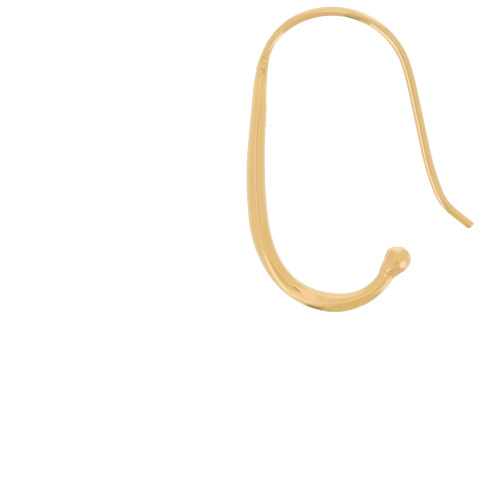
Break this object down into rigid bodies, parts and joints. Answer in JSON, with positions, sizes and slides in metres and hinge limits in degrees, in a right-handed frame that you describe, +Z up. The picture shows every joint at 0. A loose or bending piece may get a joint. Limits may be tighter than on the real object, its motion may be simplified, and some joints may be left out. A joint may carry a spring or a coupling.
{
  "type": "ear wire",
  "caption": "Gold hook earring on its side: a ball end, a thick tapered front bar bent into a bowl, and a thin round wire over the ear to a kicked-out tail.",
  "frame": {"origin": "middle of the outline, on the surface that the ear wire lies on", "axes": "+X from the front bar towards the tail, +Y from the bowl towards the arch, +Z up from the surface"},
  "size_m": [0.0227, 0.0306, 0.0026],
  "materials": {
    "gold": "polished yellow gold, with fine drawing lines and a small soldered joint"
  },
  "bodies": {
    "root": {"ear_wire": "gold"}
  },
  "joints": []
}
